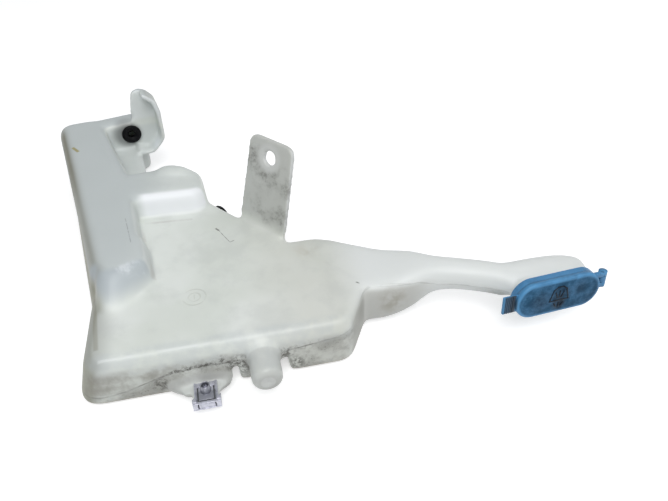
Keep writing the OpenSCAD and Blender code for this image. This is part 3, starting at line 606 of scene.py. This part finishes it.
# Heights count from the wall: top of the flange, and outer end of the plain bore
top, bore_top = 0.0032, 0.0021
for name, node, middle, axis, length, slot in (
    ("pump_bush", "pump_grommet", pump_at, mounts["pump_port"]["axis"], 0.0082, "pump_rubber"),
    ("rear_bush", "rear_grommet", rear_at, mounts["rear_port"]["axis"], 0.0103, "rear_rubber"),
):
    low = -(length - bore_top)
    groove = low + 0.003
    outline = [
        (grommet_bore, low), (grommet_neck - 0.0012, low), (grommet_neck + 0.0009, groove - 0.0002),
        (grommet_neck, groove), (grommet_neck, 0.0), (grommet_flange - 0.0004, 0.00002),
        (grommet_flange, 0.0005), (grommet_flange, 0.0018), (grommet_flange - 0.0007, 0.0027),
        (grommet_flange - 0.0018, top), (grommet_bore + 0.0016, top), (grommet_bore + 0.0007, top - 0.0003),
        (grommet_bore - 0.0004, top - 0.0011), (lip_bore + 0.0005, top - 0.0018), (lip_bore, top - 0.0024),
        (lip_bore + 0.0005, top - 0.0030), (grommet_bore, top - 0.0036), (grommet_bore, low + 0.0012),
    ]
    out = Vector(axis)
    seat = Vector(middle) - out * (bore_top + low) / 2
    turn = out.to_track_quat("Z", "Y").to_matrix().to_4x4()
    bush = new_piece(name, turned(outline, Matrix.Translation(seat) @ turn), rubber)
    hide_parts(node)


# Clip nut: spring steel folded over the lug's tongue, with a drawn and tapped barrel on its upper
# leaf and two turned-up prongs. It is zinc plated and has gone dull.
clip_low, clip_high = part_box("clip_nut")
leaf_mid = (clip_low.x + clip_high.x) / 2
sheet_thick, tongue_room = 0.0012, 0.0054
leaf_low, leaf_high = clip_low.z, clip_low.z + 2 * sheet_thick + tongue_room
front, back = clip_low.y, clip_high.y
upper = leaf_high - sheet_thick

zinc, tree, shader, place = start_material("dull_zinc", 0.36)
shader.inputs["Metallic"].default_value = 0.7
bloom = step(tree, grain(tree, place, 420, 4, 0.7), 0.42, 0.68)
colour = tint(tree, bloom, (0.58, 0.585, 0.66, 1), (0.44, 0.45, 0.51, 1))
# The front of the upper leaf is painted darker than the plate behind, and the barrel above its foot is painted
# dark to stand for reflections in the metal
cx, cy, cz = parts_of(tree, place)
leaf_front = all_of(
    tree, step(tree, aside(tree, cx, leaf_mid), 0.0085, 0.0070),
    step(tree, cy, front + 0.0125, front + 0.0100), step(tree, cz, leaf_low + 0.004, leaf_low + 0.005),
    step(tree, cy, front + 0.0018, front + 0.0026),
)
darker_front_and_barrel = any_of(tree, leaf_front, step(tree, cz, leaf_high + 0.0024, leaf_high + 0.0028))
colour = coat(tree, colour, darker_front_and_barrel, 0.6, (0.17, 0.18, 0.20))
tree.links.new(colour, shader.inputs["Base Color"])
tree.links.new(scaled(tree, bloom, 0.25, 0.28), shader.inputs["Roughness"])
raise_surface(tree, shader, grain(tree, place, 700, 3, 0.5, (1, 4, 1)), 0.00012, 0.5)


def edges_at(verts):
    """Edges that end at these corners, each once and always in the same order."""
    return list(dict.fromkeys(e for v in verts for e in v.link_edges))


def break_edges(bm, edges, offset, segments=2):
    bmesh.ops.bevel(
        bm, geom=edges, offset=offset, offset_type="OFFSET", affect="EDGES", segments=segments, profile=0.5,
        material=-1,
    )


def block(bm, low, high, edge=0.0003):
    """Cuboid between two corners with its edges broken."""
    low, high = Vector(low), Vector(high)
    size = Matrix.Diagonal((high - low).to_4d())
    made = bmesh.ops.create_cube(bm, size=1.0, matrix=Matrix.Translation((low + high) / 2) @ size)
    break_edges(bm, edges_at(made["verts"]), edge)


def drawn_up(bm, face, height):
    """Solid above a flat face; gives its upper corners."""
    foot = list(face.verts)
    raised = bmesh.ops.extrude_face_region(bm, geom=[face], use_keep_orig=True)["geom"]
    top = [g for g in raised if isinstance(g, bmesh.types.BMVert)]
    bmesh.ops.translate(bm, verts=top, vec=(0, 0, height))
    bmesh.ops.recalc_face_normals(bm, faces=list({f for v in foot + top for f in v.link_faces}))
    return top


def plate(bm, corners, low, high, edge=0.0003):
    """Flat piece with any outline between two heights, its edges broken."""
    foot = [bm.verts.new((*corner, low)) for corner in corners]
    top = drawn_up(bm, bm.faces.new(foot), high - low)
    break_edges(bm, edges_at(foot + top), edge)


bm = bmesh.new()
# Where two pieces of sheet overlap, one is thinner by a hair, so that no faces of theirs fall together
hair = 0.0001
# Lower leaf, and the bend in front with a slot on each side between its middle and its two straps
lower_long, strap_wide, strap_thick, strap_edge, bend_in = 0.012, 0.0036, 0.0013, 0.0003, 0.0045
block(bm, (clip_low.x, front, leaf_low), (clip_high.x, front + lower_long, leaf_low + sheet_thick))
for side in (clip_low.x + hair, clip_high.x - strap_wide - hair):
    block(
        bm, (side, front + hair, leaf_low + strap_edge),
        (side + strap_wide, front + strap_thick, leaf_high - strap_edge),
    )
block(
    bm, (clip_low.x + bend_in, front + 4 * hair, leaf_low + 4 * hair),
    (clip_high.x - bend_in, front + sheet_thick, leaf_high - 0.0016),
)
# Upper leaf: wide in front, narrow behind, with slots that free a sprung tongue round the barrel
half_front, half_back, slot_at, slot_wide = 0.0105, 0.0088, 0.0066, 0.0010
prong_wide, prong_deep, prong_high = 0.0032, 0.0040, 0.0020
roll_from, roll_high = 0.0086, 0.0008
for side in (-1, 1):
    outline = [
        (slot_at, front), (half_front, front), (half_front, front + 0.0050), (half_back, front + 0.0062),
        (half_back, back), (slot_at, back),
    ]
    plate(bm, [(leaf_mid + side * u, v) for u, v in outline], upper, leaf_high)
    # Prong at the front corner, and the edge rolled up beside the barrel
    prong = sorted((leaf_mid + side * half_front, leaf_mid + side * (half_front - prong_wide)))
    block(
        bm, (prong[0], front + 4 * hair, leaf_high - hair),
        (prong[1], front + prong_deep, leaf_high + prong_high), 0.0005,
    )
    roll = sorted((leaf_mid + side * (half_back - hair), leaf_mid + side * (half_back - sheet_thick)))
    block(bm, (roll[0], front + roll_from, leaf_high - hair), (roll[1], back - hair, leaf_high + roll_high))
# Bridges across the two ends of the slots, and the tongue between them, sprung a little down
bridge = slot_at + 4 * hair
for start, end in ((front + hair, front + 0.0022), (back - 0.0040, back - hair)):
    block(bm, (leaf_mid - bridge, start, upper + hair), (leaf_mid + bridge, end, leaf_high - hair))
tongue_half, sprung = slot_at - slot_wide, 0.0003
block(
    bm, (leaf_mid - tongue_half, front + 0.0033, upper - sprung),
    (leaf_mid + tongue_half, back - 0.0038, leaf_high - sprung),
)
clip = new_piece("clip_sheet", bm, zinc)
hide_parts("clip_nut")
# Barrel, with its thread cut as plain grooves
barrel_out, barrel_in, barrel_top = 0.0036, 0.0025, clip_high.z
turns, lead_in, groove_deep, groove_rise = 9, 0.0006, 0.00025, 0.00035
thread = []
for k in range(turns):
    thread_z = barrel_top - lead_in - (barrel_top - leaf_high + lead_in) * (k + 0.5) / turns
    thread += [(barrel_in + groove_deep, thread_z + groove_rise), (barrel_in, thread_z)]
outline = [
    (barrel_out + 0.0006, leaf_high - 0.0003), (barrel_out + 0.0001, leaf_high + 0.0005),
    (barrel_out, barrel_top - 0.0004), (barrel_out - 0.0004, barrel_top), (barrel_in + 0.0005, barrel_top),
] + thread + [(barrel_in, leaf_high - 0.0012)]
barrel = new_piece("clip_barrel", turned(outline, Matrix.Translation((screw_at.x, screw_at.y, 0)), 48), zinc)


# Filler collar: a blue ring pushed over the end of the filler mouth, with the middle knuckle of
# the lid's hinge at its right end.
hinge_out, hinge_side, hinge_up = 0.04362, 0.005, 0.0016
mouth_x = Vector((hinge_axis.y, -hinge_axis.x, 0)).normalized()
mouth_z = mouth_x.cross(hinge_axis)
mouth_at = hinge_at - mouth_x * hinge_out - hinge_axis * hinge_side - mouth_z * hinge_up
mouth = Matrix.Translation(mouth_at) @ Matrix((mouth_x, hinge_axis, mouth_z)).transposed().to_4x4()


def blue_plastic(name, body_colour, worn_colour, smudge_colour):
    """Scuffed blue polypropylene, with its colour left open for more coats."""
    material, tree, shader, place = start_material(name, 0.4, mouth)
    shader.inputs["IOR"].default_value = 1.49
    wear = step(tree, grain(tree, place, 70, 4, 0.65), 0.40, 0.68)
    colour = tint(tree, reckon(tree, "MULTIPLY", wear, 0.55), (*body_colour, 1), (*worn_colour, 1))
    smudge = step(tree, grain(tree, place, 42, 5, 0.6), 0.50, 0.68)
    colour = coat(tree, colour, smudge, 0.5, smudge_colour)
    scuffs = step(tree, grain(tree, place, 300, 4, 0.7, (1, 3, 1)), 0.60, 0.74)
    colour = coat(tree, colour, scuffs, 0.4, worn_colour)
    tree.links.new(scaled(tree, wear, 0.18, 0.36), shader.inputs["Roughness"])
    raise_surface(tree, shader, grain(tree, place, 650, 3), 0.00012, 0.5)
    return material, tree, shader, place, colour


collar_blue, tree, shader, place, colour = blue_plastic(
    "collar_blue", (0.056, 0.212, 0.420), (0.095, 0.290, 0.520), (0.034, 0.115, 0.225)
)
tree.links.new(colour, shader.inputs["Base Color"])
# The CAD's own ring is shown, in this material
collar_mesh = frame["nodes"]["filler_collar"].data
collar_mesh.materials.clear()
collar_mesh.materials.append(collar_blue)


# Lid: a blue racetrack cap with a rounded edge, a ribbed finger tab at its left end and two hinge
# ears with stub pins at its right end. A plug skirt under it seals the mouth, and a small plain sign
# of a windscreen and its spray stands up in the middle. Its face is darkened, partly with road dirt and partly
# with painted shade.
lid_long, lid_wide = 0.07924, 0.03324
lid_under, lid_top = 0.0018, 0.0068

lid_blue, tree, shader, place, colour = blue_plastic(
    "lid_blue", (0.058, 0.222, 0.430), (0.098, 0.310, 0.550), (0.030, 0.100, 0.195)
)
lx, ly, lz = parts_of(tree, place)
# Reach is the distance from the racetrack's middle line
past_end = any_of(tree, reckon(tree, "SUBTRACT", aside(tree, lx), (lid_long - lid_wide) / 2), 0.0)
reach = reckon(tree, "ADD", reckon(tree, "MULTIPLY", past_end, past_end), reckon(tree, "MULTIPLY", ly, ly))
reach = reckon(tree, "SQRT", reach)
on_face = step(tree, lz, 0.0056, 0.0066)
dull = scaled(tree, step(tree, grain(tree, place, 95, 5, 0.7), 0.34, 0.66), 0.4, 0.6)
lid_dirt_and_shade = all_of(tree, on_face, step(tree, reach, 0.0156, 0.0128), dull)
colour = coat(tree, colour, lid_dirt_and_shade, 0.84, (0.010, 0.042, 0.084))
tree.links.new(scaled(tree, lid_dirt_and_shade, -0.38, 0.45), shader.inputs["Specular IOR Level"])
for across, up, inner, outer, strength in (
    (-0.017, -0.001, 0.003, 0.014, 0.55),
    (0.000, -0.0070, 0.004, 0.0085, 0.9),
    (0.001, 0.0010, 0.005, 0.0125, 0.65),
    (0.020, 0.004, 0.002, 0.010, 0.35),
):
    grimy = all_of(tree, on_face, spot(tree, place, (across, up, lid_top), inner, outer), dull)
    colour = coat(tree, colour, grimy, strength, (0.010, 0.018, 0.029))
# The rim is lightened in streaks, partly wear and partly a painted highlight on its rounded edge
rim_wear_and_highlight = all_of(
    tree, step(tree, reach, 0.0136, 0.0150), step(tree, lz, 0.0048, 0.0060),
    step(tree, grain(tree, place, 130, 3), 0.38, 0.58),
)
colour = coat(tree, colour, rim_wear_and_highlight, 0.25, (0.090, 0.310, 0.590))
# Painted shade lies between the tab's ribs, most at its root under the cap, and black dirt on the lines of the
# sign
tab_shade = all_of(
    tree, step(tree, lx, -0.0380, -0.0405), step(tree, lx, -0.0502, -0.0488), step(tree, lz, 0.0030, 0.0038)
)
colour = coat(tree, colour, tab_shade, 0.75, (0.030, 0.034, 0.040))
tab_root_shade = all_of(tree, tab_shade, step(tree, lx, -0.0460, -0.0415))
colour = coat(tree, colour, tab_root_shade, 0.7, (0.010, 0.012, 0.016))
colour = coat(tree, colour, step(tree, lz, lid_top + 0.0001, lid_top + 0.0002), 0.9, (0.006, 0.011, 0.018))
tree.links.new(colour, shader.inputs["Base Color"])


def racetrack(bm, long, wide, low, high, steps=72):
    """Solid with straight sides and half-round ends, between two heights; gives its upper corners."""
    turn = Matrix.Rotation(math.pi / steps, 4, "Z")
    made = bmesh.ops.create_circle(bm, cap_ends=True, segments=steps, radius=wide / 2, matrix=turn)
    for v in made["verts"]:
        v.co.x += math.copysign((long - wide) / 2, v.co.x)
        v.co.z = low
    return drawn_up(bm, made["verts"][0].link_faces[0], high - low)


def bar(bm, start, end, width, low, high):
    """Thin raised line between two points of a face."""
    run = Vector(end) - Vector(start)
    middle = (Vector(start) + Vector(end)) / 2
    turn = Matrix.Translation((*middle, (low + high) / 2)) @ Matrix.Rotation(math.atan2(run.y, run.x), 4, "Z")
    size = Matrix.Diagonal((run.length + width, width, high - low, 1))
    made = bmesh.ops.create_cube(bm, size=1.0, matrix=turn @ size)
    break_edges(bm, edges_at(made["verts"]), width * 0.2)


def rod(bm, middle, radius, long, steps):
    """Round bar along the hinge's axis."""
    rod_place = Matrix.Translation((hinge_out, middle, hinge_up)) @ Matrix.Rotation(math.pi / 2, 4, "X")
    bmesh.ops.create_cone(
        bm, cap_ends=True, segments=steps, radius1=radius, radius2=radius, depth=long, matrix=rod_place
    )


# Cap with its rounded rim, and the plug under it
cap_under, rim_round, rim_steps = lid_under - 0.0003, 0.0020, 5
plug_long, plug_wide, plug_low, plug_high = 0.0636, 0.0176, -0.0024, 0.0026
bm = bmesh.new()
rim = racetrack(bm, lid_long, lid_wide, cap_under, lid_top)
rim_edges = [e for e in edges_at(rim) if all(v in rim for v in e.verts)]
break_edges(bm, rim_edges, rim_round, rim_steps)
racetrack(bm, plug_long, plug_wide, plug_low, plug_high)
# Sign: the outline of a windscreen, with a jet that fans out over it and one below
sign_wide, sign_sunk, sign_high = 0.0013, 0.0002, 0.0004
for start, end in (
    ((-0.0088, -0.0036), (0.0088, -0.0036)), ((-0.0088, -0.0036), (-0.0060, 0.0070)),
    ((-0.0060, 0.0070), (-0.0024, 0.0098)), ((-0.0024, 0.0098), (0.0024, 0.0098)),
    ((0.0024, 0.0098), (0.0060, 0.0070)), ((0.0060, 0.0070), (0.0088, -0.0036)),
    ((0, -0.0008), (0, 0.0056)), ((-0.0018, -0.0008), (-0.0038, 0.0044)),
    ((0.0018, -0.0008), (0.0038, 0.0044)), ((0, -0.0100), (0, -0.0064)),
    ((-0.0024, -0.0096), (-0.0042, -0.0068)), ((0.0024, -0.0096), (0.0042, -0.0068)),
):
    bar(bm, start, end, sign_wide, lid_top - sign_sunk, lid_top + sign_high)
# Finger tab and its ribs
tab_tip, tab_root, tab_half, tab_thick = -0.0506, -0.034, 0.00825, 0.0022
ribs, rib_pitch, rib_half, rib_low, rib_high = 6, 0.0016, 0.0004, 0.002, 0.0029
block(bm, (tab_tip, -tab_half, lid_under), (tab_root, tab_half, lid_under + tab_thick), 0.0005)
for k in range(ribs):
    rib = tab_tip + rib_pitch / 2 + k * rib_pitch
    block(
        bm, (rib - rib_half, -tab_half + rib_half, lid_under + rib_low),
        (rib + rib_half, tab_half - rib_half, lid_under + rib_high),
    )
# Hinge ears, the arms that carry them and their stub pins
ear_near, ear_far, ear_round = 0.0031, 0.0073, 0.0036
arm_root, arm_thick = 0.031, 0.0032
pin_mid, pin_round, pin_long = 0.0032, 0.0014, 0.0042
for side in (-1, 1):
    low_y, high_y = sorted((hinge_side + ear_near * side, hinge_side + ear_far * side))
    rod(bm, (low_y + high_y) / 2, ear_round, ear_far - ear_near, 40)
    block(bm, (arm_root, low_y, lid_under), (hinge_out, high_y, lid_under + arm_thick))
    rod(bm, hinge_side + side * pin_mid, pin_round, pin_long, 28)
bm.transform(mouth)
lid = new_piece("filler_cap", bm, lid_blue, "lid")
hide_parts("filler_lid")


# Floor and backdrop: one pale sheet under the part, lit evenly as in a studio. To the camera and in
# reflections it looks white, but it throws no extra light on the part.
floor_half = 6.0
bm = bmesh.new()
bmesh.ops.create_grid(bm, x_segments=1, y_segments=1, size=floor_half)
floor_mesh = bpy.data.meshes.new("floor")
bm.to_mesh(floor_mesh)
bm.free()
floor = bpy.data.objects.new("floor", floor_mesh)
bpy.context.scene.collection.objects.link(floor)
floor_white = bpy.data.materials.new("floor_white")
floor_white.use_nodes = True
tree = floor_white.node_tree
shader = tree.nodes["Principled BSDF"]
shader.inputs["Base Color"].default_value = (0.72, 0.72, 0.72, 1)
shader.inputs["Roughness"].default_value = 0.9
shader.inputs["Specular IOR Level"].default_value = 0.1
path = tree.nodes.new("ShaderNodeLightPath")
seen = any_of(tree, *(path.outputs["Is " + ray + " Ray"] for ray in ("Camera", "Glossy", "Transmission")))
shader.inputs["Emission Color"].default_value = (1, 1, 1, 1)
tree.links.new(reckon(tree, "MULTIPLY", seen, 0.52), shader.inputs["Emission Strength"])
floor.data.materials.append(floor_white)
floor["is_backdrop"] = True


# Light: a broad window high in front, a weaker one from the right, and a pale room.
scene = bpy.context.scene
scene.view_settings.view_transform = "Standard"
room = bpy.data.worlds.new("pale_room")
room.use_nodes = True
tree = room.node_tree
glow = tree.nodes["Background"]
glow.inputs["Color"].default_value = (0.95, 0.97, 1.0, 1)
path = tree.nodes.new("ShaderNodeLightPath")
shown = any_of(tree, path.outputs["Is Camera Ray"], path.outputs["Is Transmission Ray"])
tree.links.new(scaled(tree, shown, 0.55, 0.45), glow.inputs["Strength"])
scene.world = room
aim = Vector((0, 0, 0.03))
for name, lamp_at, size, power in (
    ("window", (-0.10, -0.95, 1.65), 1.1, 19.5),
    ("side_window", (1.2, -0.3, 1.3), 0.9, 4.0),
):
    lamp = bpy.data.lights.new(name, "AREA")
    lamp.size = size
    lamp.energy = power
    holder = bpy.data.objects.new(name, lamp)
    holder.location = lamp_at
    holder.rotation_euler = (aim - Vector(lamp_at)).to_track_quat("-Z", "Y").to_euler()
    scene.collection.objects.link(holder)

# Camera: above the front edge, looking down at forty degrees and a little to the right
view = bpy.data.cameras.new("photo_view")
view.sensor_width = 36.0
view.lens = 32.335
view.clip_start = 0.01
camera = bpy.data.objects.new("photo_view", view)
camera.location = datum + Vector((0.117946, -0.307062, 0.387105))
camera.rotation_euler = Vector((0.17232, 0.74641, -0.64279)).to_track_quat("-Z", "Y").to_euler()
scene.collection.objects.link(camera)
scene.camera = camera

bpy.context.view_layer.update()
low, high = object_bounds()
